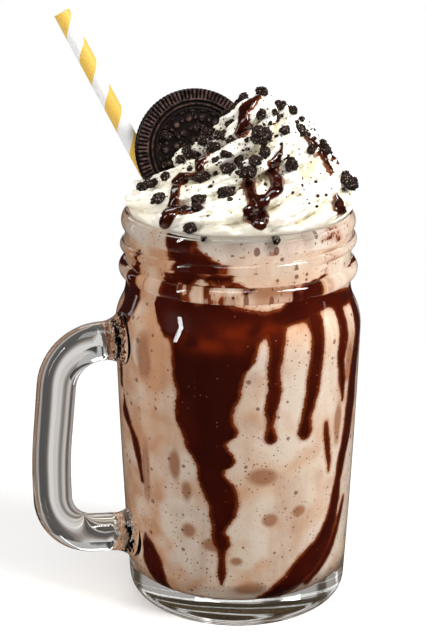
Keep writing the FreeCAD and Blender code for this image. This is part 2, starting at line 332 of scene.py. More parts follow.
# runs as height, angle, half width
thinRuns = {
    "first": [(117.2, 19, 3.6), (109, 18, 2.7), (103, 17, 2.3), (96, 18, 2.5), (89, 16.4, 2.3),
        (82, 16, 1.6), (77.8, 16.4, 2.2)],
    "second": [(119, 42, 3.8), (113, 41, 3.1), (103, 40, 3.1), (94, 38.5, 3.2), (88, 36.8, 2.6),
        (83, 34.8, 2.3), (78.2, 34.6, 3.1)],
    "third": [(120.6, 62, 3.2), (113.4, 61, 3.2), (107.2, 59.5, 2.8), (101.1, 58.4, 2.6),
        (93, 60.4, 2.2), (85.9, 61.4, 0.8)],
    "edge": [(121.7, 84, 4.0), (107.2, 78, 4.2), (95, 74, 4.0), (80.9, 72, 4.6), (70.8, 69, 4.0),
        (60.8, 64.5, 3.4), (52.7, 61.5, 2.6), (43.7, 60, 3.4), (36.7, 57, 4.0), (31.7, 53, 5.0),
        (26.7, 47, 6.0), (22.7, 40, 6.0), (17.7, 31, 5.0), (13.7, 22, 3.6), (11.7, 14, 1.8)],
    "edgeBack": [(42.7, 70, 1.4), (34.7, 66, 2.0), (26.7, 60, 2.4), (20.7, 52, 2.2),
        (15.7, 42, 2.0)],
    "fleck": [(78.8, 48.6, 0.8), (72.8, 49.6, 1.4), (64.8, 51.6, 1.5), (58.8, 52.6, 0.6)],
    "lowLeft": [(30.7, -56, 1.0), (25.7, -54, 4.8), (20.7, -51, 5.4), (14.7, -47, 4.6),
        (10.7, -43, 2.8)],
    "leftEdge": [(83.9, -72, 0.8), (77.8, -71, 3.2), (72.8, -65, 1.8), (68.8, -61, 2.6),
        (61.8, -58, 1.6), (53.7, -56, 1.0)],
    "neckLeft": [(142, -60, 0.6), (137, -62, 2.4), (131, -66, 4.4), (123.8, -68, 5.6),
        (117.5, -72, 6.4), (112.3, -76, 4.6)],
    "neckBand": [(151, -30, 6.8), (146, -31, 5.6), (142, -29, 6.8), (138, -25, 8.4),
        (135.6, -22, 7.6)],
    "neckBandLeft": [(137, -34, 4.8), (133, -36, 5.0), (128, -35, 6.2), (122, -33, 7.0)],
    "neckSwoosh": [(147, -22, 2.2), (143, -18, 3.6), (139.5, -13, 3.8), (136.5, -7, 2.6),
        (135.0, 1, 1.2)],
    "neckStreak": [(137, -13, 2.9), (135.2, -6, 2.4), (133.8, 3, 1.6), (132.4, 12, 0.8)],
    "neckStreakLow": [(131.8, -16, 1.3), (130.6, -5, 1.0), (129.8, 4, 0.4)],
    "neckRight": [(127, 38, 5.0), (131, 43, 3.6), (135, 50, 1.6), (138, 54, 0.6)],
    "neckRightTop": [(147.6, 46, -0.3), (147.8, 53, 0.3), (147.2, 61, 0.5), (146.4, 67, 0.0)],
}
# light gaps left in the sauce of the neck
neckGaps = [
    [(134.0, -18.2, 0.9), (131.8, -19.8, 1.5), (129.6, -20.6, 2.0)],
    [(140.4, -36.6, 0.8), (139.2, -38.0, 1.2)],
    [(126.4, -52, 1.0), (121.0, -55, 1.6)],
]
# height, angle, half width, half height of the soft brown clouds
brownClouds = [
    (62.8, 11, 7.5, 5.0), (64.8, -32, 3.2, 9.0), (55.7, -26, 3.0, 6.0), (46.7, 33, 3.4, 3.0),
    (44.7, 17, 3.8, 3.4), (34.7, -12, 6.0, 3.4), (39.7, -25, 3.6, 4.0), (16.7, 4, 9.0, 4.2),
    (28.7, 0, 3.4, 2.6), (103.1, -50, 6.0, 12.0), (58.8, -52, 3.0, 16.0), (25.7, 36, 3.0, 4.0),
    (76.8, 58, 3.0, 12.0), (131, 20, 14.0, 2.6), (142, 56, 7.0, 3.0), (140, -12, 7.0, 3.4),
    (146, 18, 3.0, 1.6), (20.7, -58, 3.4, 5.0), (96, 20, 3.6, 2.4), (99.1, 66, 3.0, 9.0),
]
# and of the pale swirls
paleClouds = [
    (55, 33, 9, 14), (50, 15, 7, 9), (42, -33, 9, 10), (23, 30, 10, 7), (92, 30, 5, 14),
    (72, 24, 8, 9), (24, -24, 6, 6), (104, -56, 4, 7), (100, 52, 5, 12), (30, 4, 6, 6),
    (140, 26, 9, 5),
]
# angle, height and radius of the single drops in the neck
neckDrops = [
    (-2.8, 145.9, 0.7), (1.6, 145.0, 0.8), (9.4, 147.0, 1.2), (8.8, 141.2, 1.2),
    (14.8, 141.7, 0.8), (19.4, 147.0, 1.1), (22.6, 143.2, 0.8), (30.3, 140.8, 1.0),
    (31, 136.2, 0.9), (37.3, 136.4, 0.7), (4.1, 129.6, 1.0), (17, 129.0, 1.1), (-16, 146.2, 0.7),
    (47, 142.0, 0.6), (52, 138.6, 0.7),
]


def drinkProfile():
    rings = {}
    for vertex in nodes["milkshake"].data.vertices:
        radius = math.hypot(vertex.co.x, vertex.co.y)
        if vertex.co.y < 0 and radius > 26 * mm:        # the straw stands on the other side
            rings[round(vertex.co.z, 5)] = radius
    levels = sorted(rings)
    profile = [(z, rings[z]) for z in levels]
    return np.array(profile + [(rim - 2.8 * mm, profile[-1][1])])


def easeRows(at, places, values):
    index = np.clip(np.searchsorted(places, at) - 1, 0, len(places) - 2)
    share = np.clip((at - places[index]) / (places[index + 1] - places[index]), 0, 1)
    share = 0.35 * share + 0.65 * smoothStep(share)
    return values[index] + (values[index + 1] - values[index]) * share


def capsuleDepth(across, height, stations):
    best = np.full(across.shape, -1e3)
    for (x0, z0, w0), (x1, z1, w1) in zip(stations, stations[1:]):
        dx, dz = x1 - x0, z1 - z0
        share = np.clip(((across - x0) * dx + (height - z0) * dz) / (dx * dx + dz * dz), 0, 1)
        gap = np.hypot(across - x0 - share * dx, height - z0 - share * dz)
        best = np.maximum(best, w0 + (w1 - w0) * share - gap)
    return best


def runDepth(angle, height, run, s):
    perDegree = math.radians(s["wallRadius"])
    return capsuleDepth(angle * perDegree, height, [(a * perDegree, z, w) for z, a, w in run])


def backRuns():
    runs = []
    place = 104.0
    while place < 292:
        length = dice.choice((18, 26, 38, 55, 70)) * dice.uniform(0.85, 1.15)
        width = dice.uniform(1.8, 3.4) + length * 0.02
        sway = dice.uniform(-4, 4)
        run = [(122, place, width * 1.5), (115, place, width)]
        for step in range(1, 5):
            share = step / 4
            run.append((115 - length * share, place + sway * share + dice.uniform(-1, 1),
                        width * (1 - 0.45 * share) * dice.uniform(0.85, 1.2)))
        runs.append(run)
        place += dice.uniform(16, 30)
    return runs


def sauceDepth(angle, height, radius, s):
    rows = np.array(broadRun[::-1], dtype=float)
    left = easeRows(height, rows[:, 0], rows[:, 1])
    right = easeRows(height, rows[:, 0], rows[:, 2])
    perDegree = np.radians(radius)
    sides = np.minimum(angle - left, right - angle) * perDegree
    ends = np.minimum(height - rows[0, 0], rows[-1, 0] + 2 - height)
    depth = np.minimum(sides, ends)

    belt = np.array(shoulderRun, dtype=float)
    low = easeRows(angle, belt[:, 0], belt[:, 1])
    high = easeRows(angle, belt[:, 0], belt[:, 2])
    beltDepth = np.minimum(height - low, high - height)
    beltDepth = np.minimum(beltDepth, np.minimum(angle + 50, 96 - angle) * perDegree)
    backAngle = np.where(angle < 90, angle + 360, angle)
    ripple = np.sin(np.radians(backAngle * 3)) + 0.6 * np.sin(np.radians(backAngle * 7 + 40))
    backBelt = np.minimum(height - 117.5 - 1.6 * ripple, 124.5 + 1.8 * ripple - height)
    backBelt = np.minimum(backBelt, np.minimum(backAngle - 88, 297 - backAngle) * perDegree)
    depth = smoothMax(depth, beltDepth, s["soft"])
    depth = smoothMax(depth, backBelt, s["soft"])
    for run in thinRuns.values():
        depth = smoothMax(depth, runDepth(angle, height, run, s), s["soft"])
    for gap in neckGaps:
        depth = -smoothMax(-depth, runDepth(angle, height, gap, s), s["soft"] / 2)
    for run in backRuns():
        depth = smoothMax(depth, runDepth(backAngle, height, run, s), s["soft"])
    return depth


def cloudCover(clouds, angle, height, radius):
    cover = np.zeros(angle.shape)
    for z, at, wide, tall in clouds:
        across = (angle - at) * np.radians(radius) / wide
        cover = np.maximum(cover, 1 - np.hypot(across, (height - z) / tall))
    return cover


def makeDrink(s):
    profile = drinkProfile()
    steps = np.r_[0, np.cumsum(np.hypot(np.diff(profile[:, 0]), np.diff(profile[:, 1])))]
    along = np.linspace(0, steps[-1], s["rows"])
    heights = np.interp(along, steps, profile[:, 0])
    radii = np.interp(along, steps, profile[:, 1]) + s["intoWall"]
    turns = np.linspace(0, 2 * math.pi, s["around"], endpoint=False)
    x = radii[:, None] * np.cos(turns)
    y = radii[:, None] * np.sin(turns)
    z = np.repeat(heights[:, None], s["around"], 1)
    points = np.stack([x, y, z], axis=-1)
    facing = towardOf(cameraSet["azimuth"])
    front = math.atan2(facing.y, facing.x)
    angle = np.degrees((turns - front + math.pi) % (2 * math.pi) - math.pi)
    angle = np.repeat(angle[None], s["rows"], 0)
    height = z / mm
    radius = np.repeat(radii[:, None], s["around"], 1) / mm
    drink = gridPiece("milkshakeFill", points)
    depth = sauceDepth(angle, height, radius, s)
    wobble = wave(points, 7 * mm, 3.0) * 0.75 + wave(points, 2.6 * mm, 11.0) * 0.35
    drawnOut = wave(points * np.array([0.16, 0.16, 1]), 1.5 * mm, 61.0)
    drawnOut = drawnOut + 0.6 * wave(points * np.array([0.3, 0.3, 1]), 0.9 * mm, 71.0)
    neckShare = smoothStep((height - s["neckFrom"]) / 3)
    neckShare = neckShare * (1 - 0.6 * smoothStep((height - s["neckTo"]) / 6))
    depth = depth + wobble + (drawnOut * 2.6 - 0.9) * neckShare
    depth = np.maximum(depth, s["pool"] - height)
    clouds = cloudCover(brownClouds, angle, height, radius)
    pale = cloudCover(paleClouds, angle, height, radius) + wave(points, 9 * mm, 27.0) * 0.4
    clouds = clouds + wave(points, 9 * mm, 21.0) * 0.35
    # painted shade: the drink turns a darker tan on the viewer's left, away from the key light; the
    # noise added next is the drink's own uneven tone
    tan = smoothStep((-10 - angle) / 34) * smoothStep((angle + 178) / 40)
    tan = 0.72 * tan + 1.15 * wave(points, 13 * mm, 81.0) + 0.5 * wave(points, 5 * mm, 85.0)
    tan = np.clip(tan, 0, 1)
    tan = tan * (1 - smoothStep(pale * 2.2))
    foam = height - s["foamFrom"] + 3 * wave(points, 8 * mm, 91.0)
    foam = smoothStep(foam / 3.4) * (1 - tan)
    mottle = np.clip(0.6 + wave(points, 5 * mm, 51.0) * 1.3, 0, 1)
    lowGlow = np.exp(-((height - 112.5) / 2.6) ** 2)
    lowGlow = lowGlow * smoothStep((angle + 36) / 14) * smoothStep((8 - angle) / 12)
    highGlow = 0.7 * np.exp(-((height - 117.0) / 3.4) ** 2)
    highGlow = highGlow * smoothStep((angle + 20) / 16) * smoothStep((30 - angle) / 14)
    glow = np.maximum(lowGlow, highGlow) * mottle
    for name, values in (("sauceDepth", depth), ("cloud", clouds), ("glow", glow), ("tan", tan),
                         ("foam", foam), ("pale", smoothStep(pale * 1.6))):
        setFloat(drink, name, values.reshape(-1))
    return drink


def speckles(tree, coords, scale, smallest, largest, share):
    cells = addNode(tree, "ShaderNodeTexVoronoi", Scale=scale)
    joinUp(tree, coords, cells.inputs["Vector"])
    parts = addNode(tree, "ShaderNodeSeparateColor")
    joinUp(tree, cells.outputs["Color"], parts.inputs[0])
    size = spread(tree, parts.outputs[0], 1 - share, 1.0, smallest, largest, smooth=False)
    shown = calc(tree, "GREATER_THAN", parts.outputs[0], 1 - share)
    inside = calc(tree, "SUBTRACT", size, cells.outputs["Distance"])
    soft = spread(tree, inside, -0.03, 0.05)
    return calc(tree, "MULTIPLY", soft, shown)


def dropsOn(tree, coords, drops, radius):
    nearest = 1.0
    front = math.radians(cameraSet["azimuth"] - 90)
    for angle, height, size in drops:
        at = front + math.radians(angle)
        gap = distanceTo(tree, coords, (radius * math.cos(at), radius * math.sin(at), height * mm))
        nearest = calc(tree, "MINIMUM", nearest, calc(tree, "DIVIDE", gap, size * mm))
    return spread(tree, nearest, 0.75, 1.15, 1, 0)


def drinkBase(tree, coords):
    streaky = addNode(tree, "ShaderNodeMapping", Scale=(1, 1, 0.22))
    joinUp(tree, coords, streaky.inputs["Vector"])
    drawn = noiseOn(tree, streaky.outputs[0], 95, 3.0, 0.4)
    patchy = spread(tree, noiseOn(tree, coords, 60, 1.0), 0.36, 0.56)
    small = calc(tree, "MULTIPLY", speckles(tree, coords, 700, 0.12, 0.28, 0.6), patchy)
    marble = spread(tree, noiseOn(tree, coords, 24, 3.0, 1.8), 0.38, 0.64)
    base = blendColours(tree, marble, (0.985, 0.885, 0.765), (0.90, 0.69, 0.51))
    # the first share paints shade on the viewer's left side as a darker tan, mixed with the drink's
    # own uneven tan
    for share, most, colour in (
            (attribute(tree, "tan"), 0.9, (0.76, 0.42, 0.225)),
            (attribute(tree, "pale"), 0.75, (0.98, 0.905, 0.755)),
            (attribute(tree, "foam"), 0.75, (0.88, 0.83, 0.76)),
            (spread(tree, drawn, 0.50, 0.74), 0.4, (0.55, 0.33, 0.21)),
            (spread(tree, attribute(tree, "cloud"), 0.0, 0.6), 0.9, (0.42, 0.20, 0.10)),
            (spread(tree, noiseOn(tree, coords, 1500, 2.0), 0.58, 0.72), 0.3, (0.40, 0.20, 0.11)),
            (speckles(tree, coords, 270, 0.10, 0.26, 0.42), 0.75, (0.17, 0.05, 0.022)),
            (small, 0.85, (0.12, 0.035, 0.014))):
        base = blendColours(tree, calc(tree, "MULTIPLY", share, most), base, colour)
    return base


def drinkMaterial(s):
    material, tree, shader = newMaterial("chocolateShake", {"Specular IOR Level": 0.04})
    coords = objectCoords(tree)
    base = drinkBase(tree, coords)
    fine = calc(tree, "SUBTRACT", noiseOn(tree, coords, 1300, 2.0), 0.5)
    fine = calc(tree, "MULTIPLY", fine, 1.1)
    depth = calc(tree, "ADD", attribute(tree, "sauceDepth"), fine)
    thick = spread(tree, depth, -0.1, 1.9)
    dark = blendColours(tree, thick, (0.21, 0.037, 0.006), (0.036, 0.0030, 0.0006))
    warm = spread(tree, noiseOn(tree, coords, 45, 2.0), 0.42, 0.66, 0, 0.6)
    # painted highlight: small light specks over the sauce stand in for glints
    paintedGlints = calc(tree, "MULTIPLY", speckles(tree, coords, 620, 0.10, 0.2, 0.10), 0.6)
    for share, colour in ((warm, (0.070, 0.0052, 0.0010)),
                          (attribute(tree, "glow"), (0.14, 0.013, 0.002)),
                          (paintedGlints, (0.33, 0.15, 0.09))):
        dark = blendColours(tree, share, dark, colour)
    fringe = spread(tree, depth, -1.3, 0.1, 0, 0.6)
    drops = calc(tree, "MULTIPLY", dropsOn(tree, coords, neckDrops, s["dropsOut"] * mm), 0.85)
    for share, colour in ((fringe, (0.44, 0.16, 0.055)), (drops, (0.15, 0.035, 0.012))):
        base = blendColours(tree, share, base, colour)
    colour = blendColours(tree, spread(tree, depth, -0.12, 0.22), base, dark)
    joinUp(tree, colour, shader.inputs["Base Color"])
    joinUp(tree, spread(tree, depth, -0.1, 0.3, 0.42, 0.2), shader.inputs["Roughness"])
    addBump(tree, shader, spread(tree, depth, -0.5, 2.2), 0.7, 0.0012)
    return material


drink = makeDrink(drinkSet)
finishPiece(drink, drinkMaterial(drinkSet), "shake", "milkshake")


# the whipped cream

creamSet = {
    "around": 400,
    "rows": 170,
    "lobes": 8,
    "twist": 190.0,         # degrees from rim to peak
    "lobeDepth": 6.4,
    "ribDepth": 1.3,
    "start": -30.0,
    "coilDepth": 1.4,
    "coils": 2.6,
    "tall": 42,             # mm over the rim
}

# height over the rim, how far the middle leans to the viewer's right, radius
creamStations = [
    (-3.0, 0.0, 38.6), (-2.6, 0.0, 38.6), (-1.6, 0.0, 38.9), (-0.8, 0.0, 39.4), (0.3, 0.2, 40.3),
    (2.0, 0.8, 41.0), (4.5, 1.4, 40.6), (8.0, 2.4, 37.6), (12.0, 3.6, 33.6), (16.0, 5.2, 29.0),
    (20.0, 6.2, 24.6), (25.0, 7.0, 20.0), (30.0, 8.2, 15.6), (34.5, 9.0, 11.6), (38.0, 8.8, 8.4),
    (40.6, 8.0, 5.4), (42.0, 7.2, 2.6), (42.4, 6.8, 0.5),
]


def creamPoints(s):
    stations = np.array(creamStations)
    steps = np.r_[0, np.cumsum(np.hypot(np.diff(stations[:, 0]), np.diff(stations[:, 2])))]
    along = np.linspace(0, steps[-1], s["rows"])
    height = np.interp(along, steps, stations[:, 0])
    lean = np.interp(along, steps, stations[:, 1])
    radius = np.interp(along, steps, stations[:, 2])
    kernel = np.hanning(9)
    kernel /= kernel.sum()
    radius = np.r_[radius[:8], np.convolve(radius, kernel, "same")[8:-5], radius[-5:]]
    turn = np.linspace(0, 2 * math.pi, s["around"], endpoint=False)[None]
    free = smoothStep((height - 1.0) / 5)[:, None]
    fade = (1 - 0.8 * smoothStep((height - 33) / 9))[:, None]
    share = np.clip(height / s["tall"], 0, 1)[:, None]
    way = rightOf(cameraSet["azimuth"])
    middle = np.stack([lean * way.x, lean * way.y, height + rim / mm], axis=-1)
    flat = 0 * share
    round3 = np.stack([np.cos(turn) + flat, np.sin(turn) + flat, 2 * share + 0 * turn], axis=-1)
    warp = wave(round3, 0.9, 5.0) * 0.9 + wave(round3, 0.35, 9.0) * 0.3
    spiral = turn - math.radians(s["twist"]) * share ** 0.85 + math.radians(s["start"])
    phase = s["lobes"] * spiral + warp
    lobe = np.abs(np.sin(phase / 2)) ** 0.75
    second = np.abs(np.sin(phase * 1.5 + 1.2))
    coil = np.cos(2 * math.pi * s["coils"] * share - turn + 1.0)
    swell = s["lobeDepth"] * (lobe - 0.62) * (0.85 + 0.6 * wave(round3, 0.7, 31.0))
    swell = swell + s["ribDepth"] * (second - 0.6) + s["coilDepth"] * coil
    out = radius[:, None] + free * fade * swell
    rise = free * fade * 1.2 * (lobe - 0.62)
    x = middle[:, 0:1] + out * np.cos(turn)
    y = middle[:, 1:2] + out * np.sin(turn)
    z = middle[:, 2:3] + rise
    points = np.stack([x, y, z], axis=-1)
    edge = smoothStep((height - 0.6) / 2.4)[:, None]
    skewed = points @ np.array([[1, 0, 0.35], [0, 1, 0], [-0.2, 0, 1.5]])
    folds = 2.6 * np.abs(wave(skewed, 8.5, 17.0)) + 1.3 * np.abs(wave(skewed, 4.2, 23.0)) - 0.75
    petals = 6.6 * np.abs(wave(points, 8.5, 57.0)) + 3.0 * np.abs(wave(points, 4.0, 63.0)) - 2.0
    seenRight = points[..., 0] * way.x + points[..., 1] * way.y
    ruffled = (1 - 0.8 * smoothStep((height - 24) / 10))[:, None]
    ruffled = smoothStep((seenRight + 14) / 20) * ruffled
    ruffled = np.maximum(ruffled, 0.8 * (1 - smoothStep((height - 8) / 8))[:, None])
    folds = folds + (petals - folds) * ruffled
    folds = folds + wave(points, 1.8, 41.0) * 0.12
    folds = folds * (1 - 0.5 * smoothStep((height - 34) / 8))[:, None]
    points[..., 0] += edge * folds * np.cos(turn)
    points[..., 1] += edge * folds * np.sin(turn)
    points[..., 2] += edge * folds * 0.35
    # the second value, how deep each point lies in a hollow, drives the painted shade in the
    # hollows
    return points * mm, -(free * fade * swell + edge * folds)


def creamMaterial():
    material, tree, shader = newMaterial("softCream", {
        "Roughness": 0.42, "Subsurface Weight": 0.2, "Subsurface Radius": (1.0, 0.75, 0.5),
        "Subsurface Scale": 0.0014, "Specular IOR Level": 0.25})
    coords = objectCoords(tree)
    tone = spread(tree, noiseOn(tree, coords, 70, 2.0), 0.35, 0.7)
    colour = blendColours(tree, tone, (0.87, 0.828, 0.74), (0.845, 0.785, 0.635))
    # painted shade: the hollows of the swirl are darkened to a yellower cream
    hollowShade = spread(tree, attribute(tree, "shadeDepth"), 0.5, 4.6, 0, 0.9)
    colour = blendColours(tree, hollowShade, colour, (0.86, 0.765, 0.53))
    joinUp(tree, colour, shader.inputs["Base Color"])
    addBump(tree, shader, noiseOn(tree, coords, 900, 3.0), 0.12, 0.0005)
    return material


swirl, shadeDepth = creamPoints(creamSet)
cream = gridPiece("creamSwirl", swirl)
# the hollow depths are kept for the painted shade in the cream's hollows
setFloat(cream, "shadeDepth", shadeDepth.reshape(-1))
finishPiece(cream, creamMaterial(), "cream", "whipped_cream")


# the sandwich cookie

cookieSet = {
    "outer": 22.45,         # radius of a wafer, mm
    "ridges": 88,
    "around": 528,
    "band": 4.2,            # width of the ridged edge, mm
    "ridgeDepth": 0.95,
    "faceDepth": 0.75,      # how far the plain face lies under the highest relief
    "fillingRadius": 20.8,
    "fillingDepth": 2.5,
}

# rings of round studs: how many, radius of the ring, size, height, share of a step turned
studRings = [(14, 11.6, 1.15, 0.8, 0.0), (14, 11.6, 0.6, 0.7, 0.5), (9, 7.6, 1.1, 0.8, 0.25),
             (5, 3.4, 1.0, 0.8, 0.0)]


def cookieAxes():
    cloud = np.array([v.co for v in nodes["cookie_filling"].data.vertices])
    centre = (cloud.min(axis=0) + cloud.max(axis=0)) / 2
    faces = nodes["cookie_filling"].data.polygons
    best = max(faces, key=lambda f: f.area)
    normal = best.normal.copy()
    facing = towardOf(cameraSet["azimuth"])
    normal = normal if normal.dot(facing) > 0 else -normal
    return Vector(centre), normal.normalized()


def waferHeight(radius, turn, s):
    bandStart = s["outer"] - s["band"]
    ridge = np.abs(np.cos(s["ridges"] * turn / 2)) ** 0.7
    inBand = smoothStep((radius - bandStart - 0.2) / 0.5)
    lift = inBand * (s["ridgeDepth"] * (ridge - 1))
    lift = lift - s["faceDepth"] * (1 - smoothStep((radius - bandStart + 0.35) / 0.4))
    for place, wide, tall in ((bandStart - 1.5, 0.45, 0.6), (bandStart - 3.1, 0.28, 0.4)):
        lift = lift + tall * np.exp(-((radius - place) / wide) ** 4)
    x, y = radius * np.cos(turn), radius * np.sin(turn)
    for count, place, size, tall, offset in studRings:
        for k in range(count):
            at = 2 * math.pi * (k + offset) / count
            gap = np.hypot(x - place * math.cos(at), y - place * math.sin(at))
            lift = lift + tall * np.exp(-(gap / size) ** 4)
    dashes = np.exp(-((radius - 14.3) / 0.35) ** 4) * smoothStep((np.sin(turn * 22) - 0.1) / 0.4)
    lift = lift + 0.6 * dashes
    return lift


def makeWafer(name, node, outward, s):
    centre, normal = cookieAxes()
    cloud = np.array([v.co for v in nodes[node].data.vertices]) - np.array(centre)
    far = max(abs(cloud @ np.array(normal))) / mm
    near = min(abs(cloud @ np.array(normal))) / mm
    outer, top = s["outer"], far - s["faceDepth"]
    bandStart = outer - s["band"]
    face = np.r_[np.linspace(0.2, bandStart - 4, 46),
                 np.linspace(bandStart - 3.6, outer - 0.35, 38)]
    turn = np.linspace(0, 2 * math.pi, s["around"], endpoint=False)[None]
    rows = []
    for r in face:
        radius = np.full(turn.shape, r)
        rows.append((radius, top + waferHeight(radius, turn, s)))
    edge = np.abs(np.cos(s["ridges"] * turn / 2)) ** 0.7
    for share in np.linspace(0.12, 1, 9):
        r = outer - 0.35 * (1 - math.sin(share * math.pi / 2)) - 0.28 * (1 - edge)
        drop = top - s["ridgeDepth"] * (1 - edge) * (1 - share) - (top - near) * share
        rows.append((r + 0 * turn, drop + 0 * turn))
    rows.append((np.full(turn.shape, outer - 3.0), np.full(turn.shape, near)))
    points = []
    side = normal.cross(Vector((0, 0, 1))).normalized()
    up = side.cross(normal).normalized()
    for r, level in rows:
        local = np.array(side) * (r * np.cos(turn))[0][:, None]
        local = local + np.array(up) * (r * np.sin(turn))[0][:, None]
        points.append(local + np.array(normal * outward) * level[0][:, None])
    points = np.array(points)
    relief = np.array([level[0] + 0 * turn[0] for r, level in rows]) - top
    rough = wave(points, 1.1, 3.0 + outward) * 0.10 + wave(points, 0.45, 7.0) * 0.05
    points = points + np.array(normal * outward) * rough[..., None]
    wafer = gridPiece(name, points * mm + np.array(centre))
    setFloat(wafer, "relief", relief.reshape(-1))
    fixNormals(wafer)
    return wafer


def fixNormals(piece):
    bpy.ops.object.select_all(action="DESELECT")
    piece.select_set(True)
    bpy.context.view_layer.objects.active = piece
    bpy.ops.object.mode_set(mode="EDIT")
    bpy.ops.mesh.select_all(action="SELECT")
    bpy.ops.mesh.normals_make_consistent(inside=False)
    bpy.ops.object.mode_set(mode="OBJECT")
    piece.select_set(False)


def makeFilling(s):
    centre, normal = cookieAxes()
    bpy.ops.object.select_all(action="DESELECT")
    bpy.ops.mesh.primitive_cylinder_add(vertices=160, radius=s["fillingRadius"] * mm,
                                        depth=s["fillingDepth"] * mm)
    filling = bpy.context.object
    filling.name = "cookieFillingDisc"
    bpy.ops.object.mode_set(mode="EDIT")
    bpy.ops.mesh.select_all(action="SELECT")
    bpy.ops.mesh.bevel(offset=0.5 * mm, segments=3)
    bpy.ops.object.mode_set(mode="OBJECT")
    for vertex in filling.data.vertices:
        uneven = 1 + 0.02 * noise.noise(vertex.co / (6 * mm))
        vertex.co.x *= uneven
        vertex.co.y *= uneven
    standOn(filling, centre, normal)
    return filling


def waferMaterial():
    material, tree, shader = newMaterial("darkWafer", {
        "Roughness": 0.5, "Specular IOR Level": 0.10})
    coords = objectCoords(tree)
    tone = spread(tree, noiseOn(tree, coords, 600, 4.0), 0.35, 0.7)
    colour = blendColours(tree, tone, (0.020, 0.0100, 0.0078), (0.056, 0.0310, 0.0250))
    # painted shade: the low parts of the relief are darkened almost to black
    grooveShade = spread(tree, attribute(tree, "relief"), -0.6, 0.5, 0.92, 0)
    colour = blendColours(tree, grooveShade, colour, (0.003, 0.0008, 0.0005))
    # painted highlight: the raised relief is lightened, mixed with the wafer's random tone
    raisedHighlight = spread(tree, attribute(tree, "relief"), -0.5, 0.1, 0, 0.9)
    colour = blendColours(tree, calc(tree, "MULTIPLY", raisedHighlight, tone), colour, (0.125, 0.073, 0.060))
    joinUp(tree, colour, shader.inputs["Base Color"])
    addBump(tree, shader, noiseOn(tree, coords, 2600, 4.0), 0.5, 0.0003)
    return material


def fillingMaterial():
    material, tree, shader = newMaterial("cookieCream", {"Roughness": 0.6})
    tone = noiseOn(tree, objectCoords(tree), 400, 3.0)
    colour = blendColours(tree, tone, (0.88, 0.84, 0.76), (0.80, 0.75, 0.66))
    joinUp(tree, colour, shader.inputs["Base Color"])
    addBump(tree, shader, tone, 0.3, 0.0003)
    return material


waferLook = waferMaterial()
cookieFront = makeWafer("cookieFrontWafer", "cookie_front", 1, cookieSet)
finishPiece(cookieFront, waferLook, "wafer", "cookie_front")
cookieBack = makeWafer("cookieBackWafer", "cookie_back", -1, cookieSet)
finishPiece(cookieBack, waferLook, "wafer", "cookie_back")
finishPiece(makeFilling(cookieSet), fillingMaterial(), "filling", "cookie_filling")


# the paper straw

strawSet = {
    "radius": 3.08,
    "wall": 0.42,
    "pitch": 19.6,          # length of one yellow and one white band, mm
    "yellow": 0.51,         # share of the pitch that is yellow
    "edge": 0.012,          # share over which one colour turns to the other
    "start": 20.01,
    "shorter": 0.1,         # keeps the rim under the frame's top, mm
}


def strawEnds():
    cloud = np.array([v.co for v in nodes["straw"].data.vertices])
    centre = cloud.mean(axis=0)
    axis = np.linalg.svd(cloud - centre, full_matrices=False)[2][0]
    axis = axis if axis[2] > 0 else -axis
    reach = (cloud - centre) @ axis
    return Vector(centre + axis * reach.min()), Vector(centre + axis * reach.max())


def makeStraw(s):
    foot, top = strawEnds()
    length = (top - foot).length - s["shorter"] * mm
    bpy.ops.object.select_all(action="DESELECT")
    bpy.ops.mesh.primitive_cylinder_add(vertices=64, radius=s["radius"] * mm, depth=length,
                                        end_fill_type="NOTHING")
    straw = bpy.context.object
    straw.name = "paperStraw"
    solid = straw.modifiers.new("wall", "SOLIDIFY")
    solid.thickness = s["wall"] * mm
    solid.offset = -1
    solid.use_rim = True
    bpy.ops.object.modifier_apply(modifier=solid.name)
    setFloat(straw, "along", [(v.co.z + length / 2) / mm for v in straw.data.vertices])
    setFloat(straw, "sideX", [v.co.x / mm for v in straw.data.vertices])
    setFloat(straw, "sideY", [v.co.y / mm for v in straw.data.vertices])
    standOn(straw, (foot + top) / 2, (top - foot).normalized())
    return straw, length / mm


def strawMaterial(s, length):
    material, tree, shader = newMaterial("stripedPaper", {"Roughness": 0.4})
    turn = calc(tree, "ARCTAN2", attribute(tree, "sideY"), attribute(tree, "sideX"))
    turn = calc(tree, "DIVIDE", turn, 2 * math.pi)
    climb = calc(tree, "SUBTRACT", attribute(tree, "along"), length)
    climb = calc(tree, "DIVIDE", climb, s["pitch"])
    place = calc(tree, "FRACT", calc(tree, "ADD", calc(tree, "SUBTRACT", climb, turn), s["start"]))
    rise = spread(tree, place, 0.0, s["edge"])
    fall = spread(tree, place, s["yellow"], s["yellow"] + s["edge"], 1, 0)
    yellow = calc(tree, "MULTIPLY", rise, fall)
    fibre = spread(tree, noiseOn(tree, objectCoords(tree), 1800, 3.0), 0.3, 0.7)
    gold = blendColours(tree, fibre, (0.66, 0.405, 0.055), (0.74, 0.475, 0.085))
    white = blendColours(tree, fibre, (0.70, 0.69, 0.685), (0.77, 0.76, 0.755))
    joinUp(tree, blendColours(tree, yellow, white, gold), shader.inputs["Base Color"])
    seam = spread(tree, place, 0.985, 1.0)
    addBump(tree, shader, calc(tree, "ADD", seam, calc(tree, "MULTIPLY", fibre, 0.3)), 0.25, 0.0002)
    return material


straw, strawLength = makeStraw(strawSet)
finishPiece(straw, strawMaterial(strawSet, strawLength), "straw_paper", "straw")


# sauce on the cream

sauceSet = {
    "grid": 0.42,           # mm
    "thick": 1.5,
    "shoulder": 1.7,        # how far in from its edge the sauce is full
    "sink": 0.35,
}

